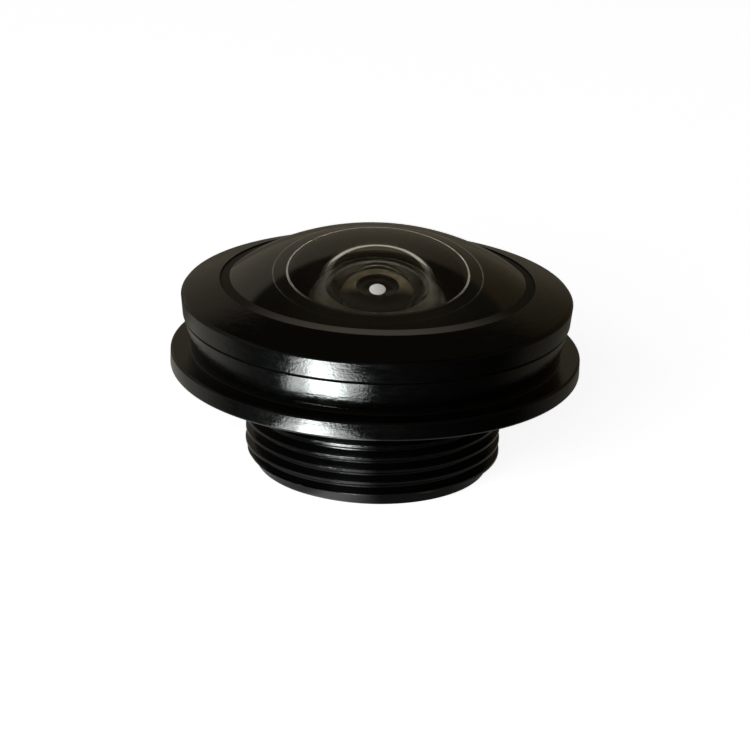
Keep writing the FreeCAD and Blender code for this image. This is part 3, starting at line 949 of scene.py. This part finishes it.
# The surround as gloss and glass see it. Heights are sines of the elevation.
WHITE = (1.0, 1.0, 1.0)
ROOM_LEFT = (0.235, 0.21, 0.17)
ROOM_MIDDLE = (0.165, 0.142, 0.10)
ROOM_RIGHT = (0.085, 0.064, 0.035)
ROOM_ABOVE = (0.034, 0.029, 0.018)
ROOM_ZENITH = (0.072, 0.060, 0.037)
LOW_BEHIND_GLASS = (0.50, 0.47, 0.39)
HIGH_BEHIND_GLASS = (0.032, 0.024, 0.014)
WINDOW = (1.0, 0.97, 0.90)
NO_WINDOW = (0.04, 0.037, 0.03)
WINDOW_BACK, WINDOW_UP = 0.80, 0.60
WINDOW_STRENGTH = 6.0


def room_in_gloss(st, across, height):
    """A dim warm backdrop, paler on the left and browner on the right, darker above its top edge."""
    card = st.blend(across, -0.55, 0.0, ROOM_LEFT, ROOM_MIDDLE)
    card = st.blend(across, 0.0, 0.5, card, ROOM_RIGHT)
    room = st.blend(height, 0.55, 0.62, card, ROOM_ABOVE)
    return st.blend(height, 0.72, 1.0, room, ROOM_ZENITH)


def world():
    """A surround that is white to the camera. Gloss sees a dim room, and glass a pale band low down.
    A window high behind the lens lights the pieces inside it, through the glass."""
    surround = bpy.data.worlds.new("studio")
    bpy.context.scene.world = surround
    surround.use_nodes = True
    st = Stage(surround.node_tree)
    coordinates = st.add("ShaderNodeTexCoord")
    split = st.add("ShaderNodeSeparateXYZ")
    st.put(coordinates.outputs["Generated"], split.inputs[0])
    across, depth, height = split.outputs
    through = st.paths.outputs["Is Transmission Ray"]
    bounced = st.math("GREATER_THAN", st.paths.outputs["Diffuse Depth"], 0.5)
    lights_inside = st.math("MULTIPLY", through, bounced)
    behind = st.blend(height, 0.20, 0.30, LOW_BEHIND_GLASS, HIGH_BEHIND_GLASS)
    toward = st.math("ADD", st.math("MULTIPLY", depth, WINDOW_BACK), st.math("MULTIPLY", height, WINDOW_UP))
    window = st.blend(toward, 0.72, 0.90, NO_WINDOW, WINDOW)
    shown = st.mix(through, room_in_gloss(st, across, height), behind)
    shown = st.mix(lights_inside, shown, window)
    shown = st.mix(st.paths.outputs["Is Camera Ray"], shown, WHITE)
    strength = st.math("ADD", st.seen(1.0, 1.0, 1.0), st.math("MULTIPLY", lights_inside, WINDOW_STRENGTH))
    back = st.add("ShaderNodeBackground")
    st.put(shown, back.inputs[0])
    st.put(strength, back.inputs[1])
    st.put(back.outputs[0], st.add("ShaderNodeOutputWorld").inputs[0])


def lamp(name, place, turn, size, level, colour=(1, 1, 1), gloss=True):
    """A soft rectangular lamp that the camera doesn't see, in millimetres. level is its brightness,
    where 1 is white."""
    data = bpy.data.lights.new(name, "AREA")
    data.shape = "RECTANGLE"
    data.size, data.size_y = size[0] * MM, size[1] * MM
    data.energy = level * math.pi * data.size * data.size_y
    data.color = colour
    piece = bpy.data.objects.new(name, data)
    piece.matrix_world = Matrix.Translation(Vector(place) * MM) @ turn
    piece.visible_camera = False
    piece.visible_glossy = gloss
    piece.visible_transmission = False
    bpy.context.scene.collection.objects.link(piece)


def facing(place, aim):
    """The turn of a lamp at a place that shines at a point."""
    return (Vector(aim) - Vector(place)).to_track_quat("-Z", "Y").to_matrix().to_4x4()


def lying(angle):
    """The turn of a lamp that lies on the floor and shines up, its length pointing at an angle."""
    return Matrix.Rotation(angle, 4, "Z") @ Matrix.Rotation(math.pi, 4, "X")


FILL_PLACE = (-150, -460, 215)
FILL_AIM = (0, 0, 5)
LOW_START = (-1.3, -6.6, 0)
LOW_ANGLE = math.radians(-34)


def lights():
    """A wide fill in front, and two lamps low in front, a narrow one over a wide one, that draw the
    bright stripe on the barrel."""
    lamp("front_fill", FILL_PLACE, facing(FILL_PLACE, FILL_AIM), (420, 300), 3.0, gloss=False)
    along = Vector((math.sin(LOW_ANGLE), -math.cos(LOW_ANGLE), 0))
    key_place = Vector(LOW_START) + along * 10.5 + Vector((0, 0, 0.3))
    wide_place = Vector(LOW_START) + along * 11.5 + Vector((0, 0, 0.2))
    lamp("low_key", key_place, lying(LOW_ANGLE), (3.6, 14), 33, (0.93, 1.0, 0.985))
    lamp("low_wide", wide_place, lying(LOW_ANGLE), (8.4, 13), 14, (0.95, 1.0, 0.985))


VIEW_ELEVATION = math.radians(20.889)
VIEW_ROLL = math.radians(2.012)
VIEW_DISTANCE = 135.632
VIEW_TARGET = (0.021, 0, 3.583)
VIEW_FOCAL = 165.96
VIEW_SENSOR = 36


def camera():
    """The photograph's view: the target, distance, elevation and roll come from fitting its outlines."""
    data = bpy.data.cameras.new("photo_view")
    data.sensor_width = VIEW_SENSOR
    data.lens = VIEW_FOCAL
    data.clip_start = 0.01
    data.clip_end = 10
    piece = bpy.data.objects.new("photo_view", data)
    bpy.context.scene.collection.objects.link(piece)
    back = Vector((0, -math.cos(VIEW_ELEVATION), math.sin(VIEW_ELEVATION)))
    place = Vector(VIEW_TARGET) * MM + back * VIEW_DISTANCE * MM
    look = (-back).to_track_quat("-Z", "Y").to_matrix().to_4x4()
    piece.matrix_world = Matrix.Translation(place) @ look @ Matrix.Rotation(VIEW_ROLL, 4, "Z")
    bpy.context.scene.camera = piece


floor()
world()
lights()
camera()
bpy.context.scene.view_settings.view_transform = "Standard"
